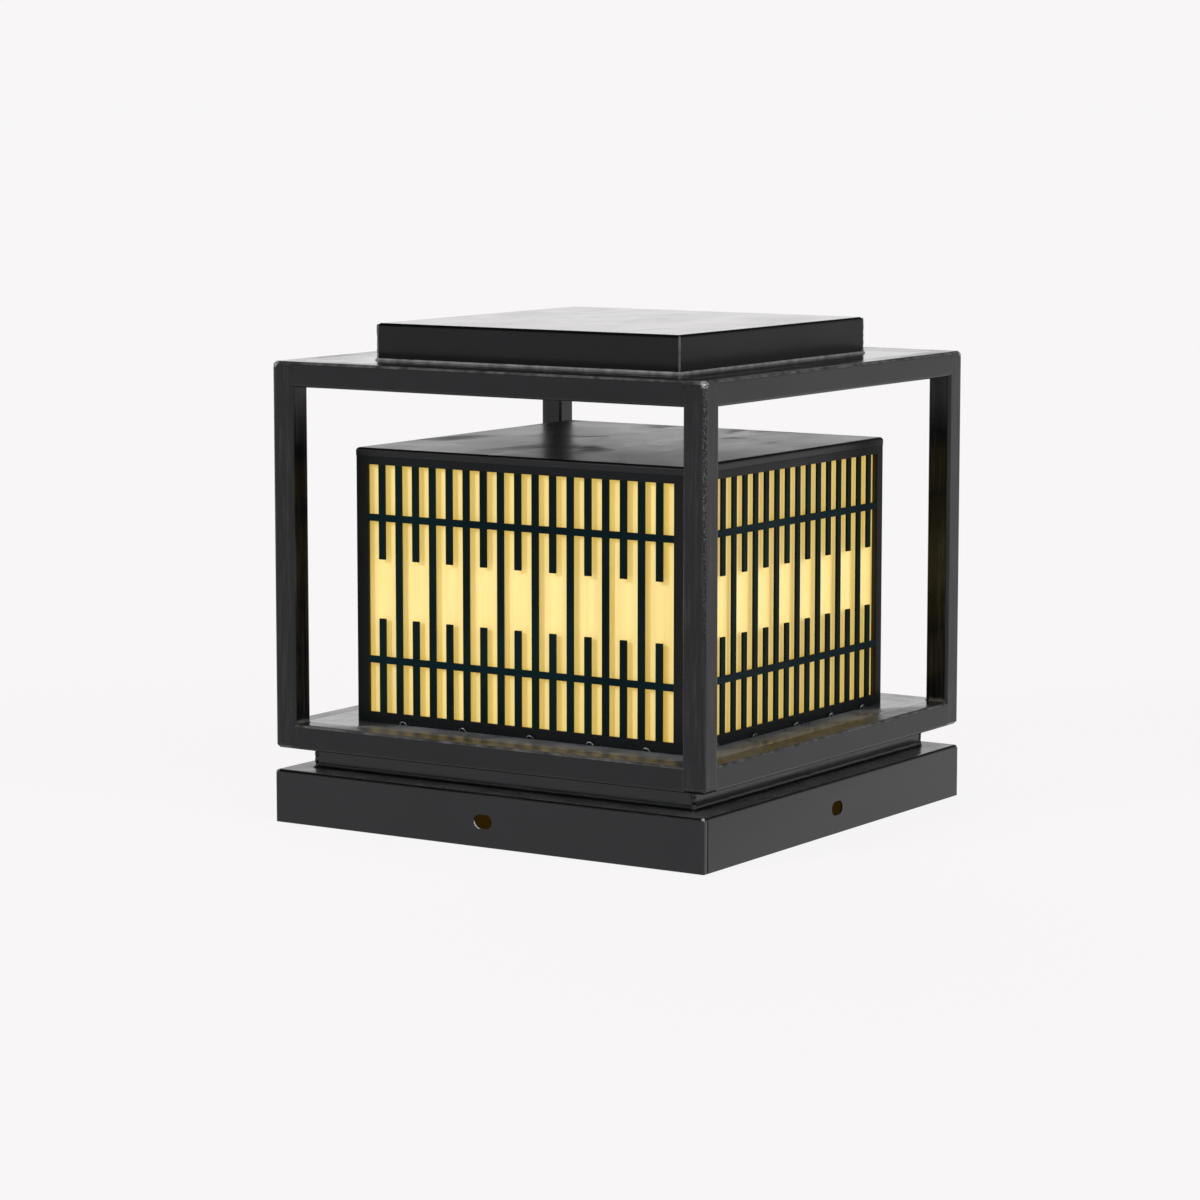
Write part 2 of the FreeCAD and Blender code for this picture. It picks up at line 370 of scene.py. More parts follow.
def black_paint(name, tone, rough, ior, dust=0.03, tint=(0.95, 1.0, 1.1)):
    """Sprayed semi-gloss black: orange peel, hand marks in the gloss, and dust on level tops."""
    look = Look(name)
    clouds = look.noise(14.0, detail=5.0, distortion=0.6)
    colour = look.mix(look.ranged(clouds, 0.35, 0.65), shade(tone * 0.75, tint), shade(tone * 1.3, tint))
    film = look.ranged(look.noise(9.0, 3.0), 0.3, 0.7, dust * 0.5, dust)
    specks = look.ranged(look.noise(900.0, 2.0), 0.66, 0.72, 0.0, dust * 3)
    settled = look.math("MULTIPLY", look.facing_up(), look.math("ADD", film, specks))
    colour = look.mix(settled, colour, shade(0.3, (1.0, 0.98, 0.94)))
    nibs = look.ranged(look.cells(420.0), 0.06, 0.11, 1.0, 0.0)
    grit = look.math("MULTIPLY", nibs, look.ranged(look.noise(60.0), 0.6, 0.72, 0.0, 0.25))
    colour = look.mix(grit, colour, shade(0.2))
    smears = look.noise(30.0, 4.0, stretch=(1.0, 0.6, 1.0), distortion=1.0)
    waves = look.bump(look.noise(16.0, 1.0), 0.15 * mm)
    peel = look.bump(look.noise(520.0, 2.0), 0.01 * mm, below=waves)
    look.set(Base_Color=colour, Roughness=look.ranged(smears, 0.35, 0.7, *rough), Normal=peel)
    look.set(IOR=ior, Specular_Tint=cool_gloss)
    return look


def glint_corner(look, spot, radius):
    """Lay a pale, partly metallic spot round a corner, alike at all four corners of the plan: partly worn
    bare steel, partly a painted glint.
    """
    flip = look.add("ShaderNodeVectorMath", operation="ABSOLUTE")
    look.feed(flip.inputs[0], look.place)
    span = look.add("ShaderNodeVectorMath", operation="DISTANCE")
    look.feed(span.inputs[0], flip.outputs[0])
    span.inputs[1].default_value = spot
    near = look.ranged(span.outputs["Value"], radius, radius * 0.5)
    bare = look.math("MULTIPLY", near, look.ranged(look.noise(700.0, 3.0), 0.4, 0.55))
    look.cover(bare, shade(0.75))
    look.set(Metallic=look.math("MULTIPLY", bare, 0.4))


def cad_corner(node, inset):
    """A node's upper outer corner in the first quarter of the plan, drawn in a little."""
    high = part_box(node)[1]
    return (high.x - inset, high.y - inset, high.z - inset)


def post_weld_specks(look):
    """Spatter of the weld down each post's outer corner, on its upper part."""
    x, y = look.plan()
    inner = look.math("MINIMUM", x, y)
    corner = look.ranged(inner, cad_high.x - post_weld_band[0], cad_high.x - post_weld_band[1])
    spatter = look.ranged(look.noise(1500.0, 5.0, stretch=(1.0, 1.0, 0.5)), 0.5, 0.64)
    heights = [share * cad_high.z for share in post_weld_rise]
    return look.product(corner, spatter, look.ranged(look.axis(look.place, "Z"), *heights))


def drawn_streaks(look):
    """Upright drawing marks on the posts."""
    x, y = look.plan()
    inner = look.math("MINIMUM", x, y)
    upright = look.ranged(inner, cad_high.x - post_band[0], cad_high.x - post_band[1])
    drawn = look.ranged(look.noise(420.0, 4.0, stretch=(1.0, 1.0, 0.06)), 0.5, 0.75, 0.0, 0.22)
    return look.math("MULTIPLY", drawn, upright)


def bend_highlights(look):
    """Painted highlight along the tubes' rounded upper corners, in patches."""
    rise = look.rise()
    bend = look.math("MULTIPLY", look.ranged(rise, 0.15, 0.4), look.ranged(rise, 0.97, 0.85))
    return look.math("MULTIPLY", bend, look.ranged(look.noise(150.0, 5.0), 0.35, 0.65, 0.3, 1.0))


def washed_rails(look):
    """1 on the tops of the bottom rails that the weather reached."""
    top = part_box("bottom_rail_front")[1].z
    low = look.ranged(look.axis(look.place, "Z"), top + low_rail_band[0], top + low_rail_band[1])
    return look.product(look.facing_up(), low, weathered_sides(look))


def tube_paint():
    """Black paint on the cage: weld specks and streaks on the posts, painted highlights along the bends,
    grimy low rails, and painted glints at the posts' top corners.
    """
    look = black_paint("tube_paint", tone=0.003, rough=(0.16, 0.26), ior=1.39)
    specks = post_weld_specks(look)
    streaks = drawn_streaks(look)
    washed = washed_rails(look)
    look.cover(streaks, shade(0.1, (0.95, 1.0, 0.98)))
    look.cover(look.math("MULTIPLY", specks, 0.6), shade(0.17))
    look.cover(bend_highlights(look), shade(0.12))
    grime = look.math("MULTIPLY", washed, look.ranged(look.noise(40.0, 3.0), 0.3, 0.7, 0.1, 0.5))
    look.cover(grime, (0.17, 0.175, 0.185, 1.0))
    look.roughen(washed, 0.16)
    look.emboss(look.math("MULTIPLY", washed, look.noise(110.0, 2.0)), 0.5 * mm)
    look.emboss(streaks, 0.1 * mm)
    look.emboss(specks, 0.12 * mm)
    glint_corner(look, cad_corner("post_end_plates", post_corner_inset), post_glint_radius)
    return look.material


def skirt_paint():
    """Black paint on folded sheet, its top under the cage grey with dust that also stands in as a painted
    reflection of the neck, and worn bare as a painted glint at the skirt's upper corners.
    """
    look = black_paint("skirt_paint", tone=0.003, rough=(0.12, 0.2), ior=1.45)
    # Grey on the skirt's top: partly real dust, partly a painted reflection of the neck above it
    patches = look.ranged(look.noise(60.0, 4.0), 0.35, 0.65, 0.55, 0.9)
    dust = look.math("MULTIPLY", look.facing_up(), patches)
    look.cover(dust, shade(0.1, (1.0, 1.0, 1.03)))
    look.roughen(dust, 0.15)
    glint_corner(look, cad_corner("base_skirt", skirt_corner_inset), skirt_glint_radius)
    return look.material


def dusty_roof():
    """Black paint on the roof, smeared grey with sealant and dust along the cap's foot."""
    look = black_paint("roof_paint", tone=0.003, rough=(0.12, 0.17), ior=1.45)
    near = wall_band(look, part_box("top_cap")[1].x, roof_smear_band)
    smear = look.ranged(look.noise(24.0, 4.0), 0.4, 0.62)
    specks = look.ranged(look.noise(330.0, 4.0), 0.45, 0.62, 0.35, 1.0)
    look.cover(look.product(near, look.facing_up(), smear, specks), shade(0.2, (1.0, 0.99, 0.95)))
    return look.material


def stained_floor():
    """Black paint on the lantern's floor, dulled by an uneven grey film along the lantern."""
    look = black_paint("floor_paint", tone=0.004, rough=(0.08, 0.14), ior=1.52, dust=0.04)
    near = wall_band(look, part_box("grille_front")[1].x, floor_film_band)
    reached = look.math("MAXIMUM", weathered_sides(look), 0.25)
    film = look.ranged(look.noise(45.0, 6.0), 0.35, 0.65, 0.45, 0.95)
    stain = look.product(near, reached, film, look.facing_up())
    look.cover(stain, (0.22, 0.235, 0.265, 1.0))
    look.roughen(stain, 0.34)
    look.emboss(look.math("MULTIPLY", stain, look.noise(120.0, 3.0)), 0.6 * mm)
    return look.material


def smudged_lid():
    """Black paint on the lantern's lid, with a few dull smudges."""
    look = black_paint("lid_paint", tone=0.003, rough=(0.27, 0.32), ior=1.38, dust=0.04)
    hands = look.noise(22.0, 4.0, stretch=(1.0, 0.55, 1.0), distortion=0.4)
    look.roughen(look.ranged(hands, 0.56, 0.72), 0.2)
    return look.material


def diffuser_sheet():
    """Warm cream acrylic with a painted glow in faint upright streaks, in place of the light of the lamp
    behind it.
    """
    look = Look("warm_acrylic")
    creams = ((0.69, 0.64, 0.35, 1.0), (0.73, 0.68, 0.39, 1.0))
    glows = ((0.82, 0.5, 0.045, 1.0), (1.0, 0.635, 0.07, 1.0))
    mottle = look.noise(26.0, 4.0)
    fine = look.noise(900.0, 2.0)
    streaks = look.noise(420.0, 2.0, stretch=(1.0, 1.0, 0.02))
    look.set(Base_Color=look.mix(look.ranged(mottle, 0.3, 0.7), *creams))
    look.set(Roughness=look.ranged(fine, 0.3, 0.7, 0.32, 0.46), Normal=look.bump(fine, 0.01 * mm), IOR=1.49)
    # Painted glow: emission standing in for the lamp's light
    look.set(Emission_Color=look.mix(look.ranged(streaks, 0.36, 0.64), *glows), Emission_Strength=0.57)
    return look.material


def foam_strip():
    """Closed-cell black foam with fine open pores on its cut faces."""
    look = Look("cell_foam")
    pores = look.cells(1400.0)
    colour = look.mix(look.ranged(pores, 0.1, 0.5), shade(0.006), shade(0.022))
    look.set(Base_Color=colour, Roughness=look.ranged(pores, 0.0, 0.6, 0.95, 0.8))
    look.set(Normal=look.bump(pores, 0.15 * mm))
    return look.material


def zinc_steel():
    """Galvanised sheet and plated screws: spangle in the tone and gloss, faint scratches."""
    look = Look("zinc_plate")
    spangle = look.axis(look.cells(160.0, "Color"), "X")
    scratch = look.noise(300.0, 2.0, stretch=(0.05, 1.0, 1.0))
    colour = look.mix(spangle, shade(0.48, (0.98, 1.0, 1.02)), shade(0.66, (0.98, 1.0, 1.02)))
    look.set(Base_Color=colour, Metallic=1.0, Normal=look.bump(scratch, 0.01 * mm))
    look.set(Roughness=look.ranged(spangle, 0.0, 1.0, 0.28, 0.42))
    look.roughen(look.ranged(scratch, 0.5, 0.8), 0.12)
    return look.material


def plain_metal(name, first, second, rough):
    """Pressed metal with soft tone changes and drawing marks."""
    look = Look(name)
    patches = look.noise(120.0, 4.0)
    marks = look.noise(500.0, 2.0, stretch=(1.0, 1.0, 0.08))
    colour = look.mix(look.ranged(patches, 0.35, 0.7), first, second)
    look.set(Base_Color=colour, Metallic=1.0, Roughness=look.ranged(marks, 0.3, 0.7, rough, rough + 0.15))
    look.set(Normal=look.bump(marks, 0.008 * mm))
    return look.material


def moulded(name, first, second, rough, ior):
    """Glazed or moulded surface with faint clouding and a slightly uneven skin."""
    look = Look(name)
    clouding = look.noise(70.0, 4.0)
    waves = look.noise(260.0, 2.0)
    colour = look.mix(look.ranged(clouding, 0.35, 0.7), first, second)
    look.set(Base_Color=colour, Roughness=look.ranged(clouding, 0.3, 0.7, rough, rough + 0.1), IOR=ior)
    look.set(Normal=look.bump(waves, 0.02 * mm))
    return look.material


def weld_metal():
    """Painted-over weld: heaped ripples with bare, brighter crests."""
    look = Look("painted_weld")
    ripple = look.noise(900.0, 3.0)
    crest = look.ranged(look.noise(500.0, 4.0), 0.45, 0.62)
    colour = look.mix(crest, shade(0.03), shade(0.42, (1.0, 0.98, 0.95)))
    look.set(Base_Color=colour, Roughness=look.ranged(ripple, 0.3, 0.7, 0.2, 0.4))
    look.set(Metallic=look.ranged(crest, 0.0, 1.0, 0.0, 0.3), Normal=look.bump(ripple, 0.1 * mm))
    return look.material


def seal_bead():
    """Grey sealant smoothed by hand, light and dark in patches."""
    look = Look("grey_sealant")
    lumps = look.noise(160.0, 4.0)
    colour = look.mix(look.ranged(lumps, 0.35, 0.7), shade(0.12), shade(0.34, (1.0, 0.98, 0.95)))
    look.set(Base_Color=colour, Roughness=look.ranged(lumps, 0.3, 0.7, 0.4, 0.6))
    look.set(Normal=look.bump(lumps, 0.2 * mm))
    return look.material


def make_materials():
    """All materials by the record's slot names, and the scene's own."""
    ivory = (0.83, 0.81, 0.75, 1.0)
    porcelain_white = (0.88, 0.87, 0.83, 1.0)
    opals = ((0.86, 0.85, 0.8, 1.0), (0.92, 0.91, 0.88, 1.0))
    brasses = ((0.62, 0.43, 0.16, 1.0), (0.78, 0.58, 0.26, 1.0))
    teal = (0.5, 1.15, 1.25)
    deep_teal = (0.2, 1.0, 1.2)
    sheet = black_paint("sheet_paint", tone=0.003, rough=(0.12, 0.2), ior=1.45)
    lantern = black_paint("lantern_paint", tone=0.0016, rough=(0.3, 0.42), ior=1.28, tint=teal)
    cap = black_paint("cap_paint", tone=0.003, rough=(0.12, 0.16), ior=1.33)
    # Duller copy of the cap's paint for its side walls: painted shade
    cap_sides = black_paint("cap_shaded_side_paint", tone=0.003, rough=(0.16, 0.24), ior=1.23)
    # Lattice bars: a darker copy of the lantern's paint, as painted shade
    lattice = black_paint("lattice_shaded_paint", tone=0.012, rough=(0.35, 0.5), ior=1.12, tint=deep_teal)
    # Lighter copy of the paint for the cap's corner welds: painted highlight
    corner_highlight = black_paint("corner_highlight_paint", tone=0.09, rough=(0.2, 0.3), ior=1.45)
    return {
        "frame_paint": tube_paint(),
        "sheet_paint": sheet.material,
        "lantern_paint": lantern.material,
        "diffuser_sheet": diffuser_sheet(),
        "seal_foam": foam_strip(),
        "zinc_steel": zinc_steel(),
        "porcelain": moulded("glazed_porcelain", ivory, porcelain_white, rough=0.08, ior=1.55),
        "brass": plain_metal("pressed_brass", *brasses, rough=0.22),
        "lamp_cap_metal": plain_metal("plated_cap", shade(0.6), shade(0.76), rough=0.2),
        "lamp_housing": moulded("white_housing", shade(0.78), shade(0.84), rough=0.34, ior=1.49),
        "opal_cover": moulded("opal_plastic", *opals, rough=0.3, ior=1.49),
        "lamp_insulation": moulded("black_glass", shade(0.008), shade(0.014), rough=0.12, ior=1.52),
        "skirt": skirt_paint(),
        "cap": cap.material,
        "cap_sides": cap_sides.material,
        "lid": smudged_lid(),
        "lattice": lattice.material,
        "corner_highlight": corner_highlight.material,
        "roof": dusty_roof(),
        "floor": stained_floor(),
        # Pale finish of the slots' cut edges: partly bare metal, partly painted highlight
        "cut_edge_highlight": moulded("cut_edge_highlight", shade(0.5), shade(0.85), rough=0.3, ior=1.6),
        "weld": weld_metal(),
        "sealant": seal_bead(),
    }


materials = make_materials()


def dress_nodes():
    """Give every CAD node the material of its slot in the record."""
    for part in frame["record"]["subparts"]:
        for slot in nodes[part["node"]].material_slots:
            slot.material = materials[part["material_slot"]]


def add_piece(name, form, body, material, sharp=sharp_angle):
    """Turn a bmesh into a piece that rides on a body."""
    mesh = bpy.data.meshes.new(name)
    form.to_mesh(mesh)
    form.free()
    mesh.materials.append(material)
    mesh.shade_smooth()
    mesh.set_sharp_from_angle(angle=sharp)
    piece = bpy.data.objects.new(name, mesh)
    bpy.context.scene.collection.objects.link(piece)
    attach(piece, body)
    return piece


def slot_of(node):
    """The record's material slot of a CAD node."""
    for part in frame["record"]["subparts"]:
        if part["node"] == node:
            return part["material_slot"]


def on_wall(face, outward, half):
    """True for a face of a pan's outer wall on one side."""
    return face.normal.dot(outward) > flat_on and face.calc_center_median().dot(outward) > half - mm


def split_wall(form, wall, place, direction):
    """Cut the faces of a wall along a plane."""
    geometry = dict.fromkeys(wall)
    for face in wall:
        geometry.update(dict.fromkeys(face.edges))
        geometry.update(dict.fromkeys(face.verts))
    bmesh.ops.bisect_plane(form, geom=list(geometry), plane_co=place, plane_no=direction)


def cut_corner_seams(form, half):
    """Dark open seam beside two opposite corners of a folded pan, where front and back lap its sides, with
    the cap's duller paint as painted shade on the strip between seam and corner.
    """
    for side, end in ((1, -1), (-1, 1)):
        outward = Vector((side, 0, 0))
        along = Vector((0, -end, 0))
        for step in (seam_offset, seam_offset + seam_width):
            wall = [face for face in form.faces if on_wall(face, outward, half)]
            split_wall(form, wall, along * (step - half), along)
        strip = []
        for face in form.faces:
            place = face.calc_center_median().dot(along) + half - seam_offset
            if on_wall(face, outward, half) and 0 < place < seam_width:
                strip.append(face)
        pushed = bmesh.ops.extrude_face_region(form, geom=strip)["geom"]
        moved = [item for item in pushed if isinstance(item, bmesh.types.BMVert)]
        bmesh.ops.translate(form, verts=moved, vec=outward * -seam_depth)
        bmesh.ops.delete(form, geom=strip, context="FACES_ONLY")
        for vert in moved:
            for face in vert.link_faces:
                face.material_index = seam_index
        # The strip between seam and corner takes the cap's duller paint: painted shade
        for face in form.faces:
            if on_wall(face, outward, half) and face.calc_center_median().dot(along) + half < seam_offset:
                face.material_index = shaded_lap_index


def softened(node, width, segments=2, seam=False, finish=None, cuts=()):
    """Piece in a CAD node's own shape with its sharp edges eased and its faces split along cuts."""
    form = bmesh.new()
    form.from_mesh(nodes[node].data)
    bmesh.ops.remove_doubles(form, verts=form.verts, dist=merge_distance)
    bmesh.ops.dissolve_limit(form, angle_limit=flat_angle, verts=form.verts, edges=form.edges)
    for place, direction in cuts:
        everything = [*form.verts, *form.edges, *form.faces]
        bmesh.ops.bisect_plane(form, geom=everything, dist=merge_distance,
                               plane_co=place, plane_no=direction)
    sharp = [e for e in form.edges if len(e.link_faces) == 2 and e.calc_face_angle() > edge_angle]
    bmesh.ops.bevel(form, geom=sharp, offset=width, segments=segments, profile=0.5,
                    affect="EDGES", clamp_overlap=True)
    if seam:
        form.normal_update()
        cut_corner_seams(form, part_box(node)[1].x)
    slot = slot_of(node)
    piece = add_piece(node + "_eased", form, "fixture", materials[finish or slot])
    piece.modifiers.new("flat_faces", "WEIGHTED_NORMAL").keep_sharp = True
    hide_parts(node)
    return piece


def ring(form, centre, radius, steps):
    """Level circle of vertices."""
    angles = [2 * math.pi * step / steps for step in range(steps)]
    return [form.verts.new(centre + Vector((math.cos(a), math.sin(a), 0)) * radius) for a in angles]


def skin(form, rings, cap_first=True, cap_last=True):
    """Faces between neighbouring rings of equal count, with end faces."""
    for lower, upper in zip(rings, rings[1:]):
        for step in range(len(lower)):
            after = (step + 1) % len(lower)
            form.faces.new((lower[step], lower[after], upper[after], upper[step]))
    if cap_first:
        form.faces.new(list(reversed(rings[0])))
    if cap_last:
        form.faces.new(rings[-1])


def lathe(form, profile, centre, steps=48):
    """Closed turned form from (radius, height) pairs, from its lower to its upper end."""
    rings = [ring(form, centre + Vector((0, 0, height)), radius, steps) for radius, height in profile]
    skin(form, rings)


def prism(form, centre, radius, low, high, sides, bevel):
    """Upright regular prism with eased ends."""
    profile = ((radius - bevel, low), (radius, low + bevel), (radius, high - bevel), (radius - bevel, high))
    rings = [ring(form, centre + Vector((0, 0, height)), r, sides) for r, height in profile]
    skin(form, rings)


def sweep(form, points, radius, sides=10, closed=False):
    """Round bead along points."""
    steep = 0.9
    count = len(points)
    rings = []
    for index, point in enumerate(points):
        before = points[index - 1] if index or closed else point
        after = points[(index + 1) % count] if index + 1 < count or closed else point
        along = (after - before).normalized()
        across = along.orthogonal().normalized()
        if abs(along.z) < steep:
            across = along.cross(Vector((0, 0, 1))).normalized()
        upright = across.cross(along)
        circle = []
        for side in range(sides):
            a = 2 * math.pi * side / sides
            circle.append(form.verts.new(point + (across * math.cos(a) + upright * math.sin(a)) * radius))
        rings.append(circle)
    if closed:
        rings.append(rings[0])
    skin(form, rings, not closed, not closed)


def turned_quarter(quarter):
    """Quarter turn about the lamp's axis: 0 keeps the front panel in place."""
    return Matrix.Rotation(math.pi / 2 * quarter, 4, "Z")


def slot_edge_highlights(piece):
    """Bare cut edge at the lower left of the front and back fixing slots, pale partly as bare metal and
    partly as a painted highlight.
    """
    for quarter in (0, 2):
        back = turned_quarter(-quarter)
        for face in piece.data.polygons:
            place = back @ face.center
            edge = (back.to_3x3() @ face.normal).y > -square_on and place.y < mm - cad_high.x
            if edge and face.area < slot_facet and -slot_zone < place.x < 0 and 0 < place.z < slot_height:
                face.material_index = edge_highlight_index


def eased_skirt():
    """Skirt with eased edges, two open seams, painted shade beside two corners and painted highlights on
    its slots' lower left edges.
    """
    piece = softened("base_skirt", pan_edge, seam=True, finish="skirt")
    for name in skirt_extras:
        piece.data.materials.append(materials[name])
    slot_edge_highlights(piece)


def shade_cap_sides(piece):
    """Painted shade: a duller copy of the cap's paint on its right and left walls, so they render darker
    than its other faces.
    """
    piece.data.materials.append(materials["cap_sides"])
    for face in piece.data.polygons:
        if abs(face.normal.x) > square_on:
            face.material_index = 1


def lantern_panel(quarter, side):
    """Lantern panel with a darker copy of its paint on the lattice than on the bands round it: painted
    shade.
    """
    low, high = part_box("grille_front")
    turn = turned_quarter(quarter)
    left = Vector((low.x + lattice_stile, 0, 0))
    right = Vector((high.x - lattice_stile, 0, 0))
    foot = Vector((0, 0, low.z + lattice_foot))
    head = Vector((0, 0, high.z - lattice_head))
    across = turn @ Vector((1, 0, 0))
    upright = Vector((0, 0, 1))
    cuts = ((turn @ left, across), (turn @ right, across), (foot, upright), (head, upright))
    piece = softened("grille_" + side, lattice_edge, segments=1, cuts=cuts)
    piece.data.materials.append(materials["lattice"])
    for face in piece.data.polygons:
        place = turn.inverted() @ face.center
        if left.x < place.x < right.x and foot.z < place.z < head.z:
            face.material_index = 1


def ease_sheet_metal():
    """Folded pans, cut panels, post ends and porcelain with their edges eased."""
    eased_skirt()
    shade_cap_sides(softened("top_cap", pan_edge, finish="cap"))
    softened("lantern_lid", plate_edge, finish="lid")
    softened("roof_plate", plate_edge, finish="roof")
    softened("floor_plate", plate_edge, finish="floor")
    softened("gear_plate", plate_edge)
    for quarter, side in enumerate(SIDES):
        lantern_panel(quarter, side)
    softened("post_end_plates", cap_plate_edge, segments=3)
    softened("lampholder_body", porcelain_edge, segments=3)


def weld_tacks():
    """Arched weld tacks where each lantern panel meets the floor."""
    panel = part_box("grille_front")[0].y
    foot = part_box("floor_plate")[1].z
    lean = Matrix.Rotation(tack_lean, 4, "X")
    steps = 14
    for quarter, side in enumerate(SIDES):
        form = bmesh.new()
        for place in tack_places:
            stand = turned_quarter(quarter) @ Matrix.Translation((place, panel - tack_rim, foot)) @ lean
            arch = []
            for step in range(steps + 1):
                a = math.pi * step / steps
                arch.append(stand @ Vector((math.cos(a) * tack_radius, 0, math.sin(a) * tack_radius)))
            sweep(form, arch, tack_rim)
        add_piece("lantern_tacks_" + side, form, "fixture", materials["weld"])


def tube_outline(reach):
    """Rounded square outline of a tube, as points across and up from its middle."""
    bends = 5
    outline = []
    for corner in range(4):
        turn = math.pi / 2 * (corner + 0.5)
        centre = Vector((math.cos(turn), math.sin(turn))) * (reach - tube_radius) * math.sqrt(2)
        for step in range(bends + 1):
            a = math.pi / 2 * (corner + step / bends)
            outline.append(centre + Vector((math.cos(a), math.sin(a))) * tube_radius)
    return outline


def rail_welds():
    """Welds ground flush: each rail's profile carried into the post's rounded corner."""
    paint = materials["frame_paint"]
    for level in ("bottom", "top"):
        low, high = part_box(level + "_rail_front")
        middle = (low + high) / 2
        outline = tube_outline((high.z - low.z) / 2 - flush_gap)
        for quarter, side in enumerate(SIDES):
            form = bmesh.new()
            for end in (-1, 1):
                rings = []
                for depth in (0, tube_radius):
                    x = end * (high.x + depth)
                    places = [Vector((x, middle.y + point.x, middle.z + point.y)) for point in outline]
                    rings.append([form.verts.new(turned_quarter(quarter) @ place) for place in places])
                skin(form, rings)
            bmesh.ops.recalc_face_normals(form, faces=form.faces)
            add_piece("%s_rail_welds_%s" % (level, side), form, "fixture", paint)


def fillet_curve(leg):
    """Hollow face of a fillet weld, as points out from and up along its wall."""
    curve = []
    for bend in range(fillet_bends + 1):
        a = math.pi / 2 * bend / fillet_bends
        curve.append((leg * (1 - math.sin(a)), leg * (1 - math.cos(a))))
    return curve


def neck_weld(name, foot, rise):
    """Wavy fillet weld round the neck, against the skirt below it or the rails above it."""
    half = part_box("neck_rail_front")[1].x
    steps = 90
    form = bmesh.new()
    rings = []
    for quarter in range(4):
        for step in range(steps):
            along = -half + 2 * half * step / steps
            corner = 1.0 if step == 0 else 0.0
            place = turned_quarter(quarter) @ Vector((along, -half, foot))
            leg = neck_fillet_leg * (1 + fillet_wobble * noise.noise(place * neck_ripple))
            circle = []
            for out, up in [(0.0, 0.0), *fillet_curve(leg)]:
                spot = Vector((along - out * corner, -half - out, foot + up * rise))
                circle.append(form.verts.new(turned_quarter(quarter) @ spot))
            rings.append(circle)
    rings.append(rings[0])
    skin(form, rings, False, False)
    bmesh.ops.recalc_face_normals(form, faces=form.faces)
    add_piece(name, form, "fixture", materials["sheet_paint"], bead_angle)


def cap_seal():
    """Sealing bead round the cap's foot."""
    low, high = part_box("top_cap")
    reach = high.x + seal_radius * seal_outward
    height = low.z + seal_radius * seal_rise
    form = bmesh.new()
    steps = 40
    corners = [Vector((sx * reach, sy * reach, height)) for sx, sy in CORNERS]
    points = []
    for first, second in zip(corners, corners[1:] + corners[:1]):
        points += [first.lerp(second, step / steps) for step in range(steps)]
    sweep(form, points, seal_radius, closed=True)
    add_piece("cap_seal", form, "fixture", materials["sealant"])


def corner_welds(name, half, low, high, radius, finish):
    """Uneven weld up each corner of a square."""
    levels = 26
    sides = 10
    form = bmesh.new()
    for quarter in range(4):
        corner = turned_quarter(quarter) @ Vector((half, -half, 0))
        inward = corner.normalized() * radius * corner_weld_sink
        rings = []
        for level in range(levels + 1):
            place = corner - inward
            place.z = low + (high - low) * level / levels
            wave = 1 + corner_weld_wobble * noise.noise(place * corner_ripple)
            if level == levels:
                wave *= corner_weld_end
            rings.append(ring(form, place, radius * wave, sides))
        skin(form, rings)
    add_piece(name, form, "fixture", materials[finish], weld_angle)


def cap_corner_welds():
    """Welds up the corners of the cap in a lighter paint: a painted highlight line."""
    low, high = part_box("top_cap")
    top = high.z - cap_weld_radius
    corner_welds("cap_corner_welds", high.x, low.z, top, cap_weld_radius, "corner_highlight")


def neck_corner_welds():
    """Welds up the corners of the neck, from the skirt to the cage."""
    low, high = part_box("neck_rail_front")
    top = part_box("bottom_rail_front")[0].z + tube_radius
    corner_welds("neck_corner_welds", high.x, low.z, top, neck_weld_radius, "sheet_paint")


def rail_fillets():
    """Fillet weld in each corner between a bottom rail's top and a post."""
    low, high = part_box("bottom_rail_front")
    depth = high.y - low.y - 2 * tube_radius
    sunk = -tube_radius / 2
    steps = 12
    form = bmesh.new()
    for quarter in range(4):
        for end in (-1, 1):
            rings = []
            for step in range(steps + 1):
                place = Vector((end * high.x, low.y - sunk + depth * step / steps, high.z))
                wave = noise.noise(turned_quarter(quarter) @ place * rail_ripple)
                leg = rail_fillet_leg * (1 + fillet_wobble * wave)
                section = [(sunk, sunk), (leg, sunk), *fillet_curve(leg), (sunk, leg)]
                spots = [place + Vector((-end * out, 0, up)) for out, up in section]
                rings.append([form.verts.new(turned_quarter(quarter) @ spot) for spot in spots])
            skin(form, rings)
    bmesh.ops.recalc_face_normals(form, faces=form.faces)
    add_piece("rail_fillets", form, "fixture", materials["frame_paint"], bead_angle)


def plate_filler(name, plate, rail, finish):
    """Filler smoothed from the rails' tops down to the plate between them."""
    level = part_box(plate)[1]
    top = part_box(rail)[1].z
    bends = 6
    form = bmesh.new()
    rings = []
    for bend in range(bends + 1):
        share = bend / bends
        reach = level.x + tube_radius - (tube_radius + filler_lap) * share
        fall = (top - level.z - filler_skin) * (0.5 - 0.5 * math.cos(math.pi * share))
        rings.append([form.verts.new((sx * reach, sy * reach, top - fall)) for sx, sy in CORNERS])
    skin(form, rings, False, False)
    bmesh.ops.recalc_face_normals(form, faces=form.faces)
    if form.faces[0].normal.z < 0:
        bmesh.ops.reverse_faces(form, faces=form.faces)
    add_piece(name, form, "fixture", materials[finish])


def seat_fastener(name, form, place, down, slot):
    """Turn a fastener to point down or up and seat it at its place."""
    if down:
        bmesh.ops.rotate(form, verts=form.verts, cent=(0, 0, 0), matrix=Matrix.Rotation(math.pi, 3, "X"))
    bmesh.ops.translate(form, verts=form.verts, vec=place)
    add_piece(name, form, "fixture", materials[slot])


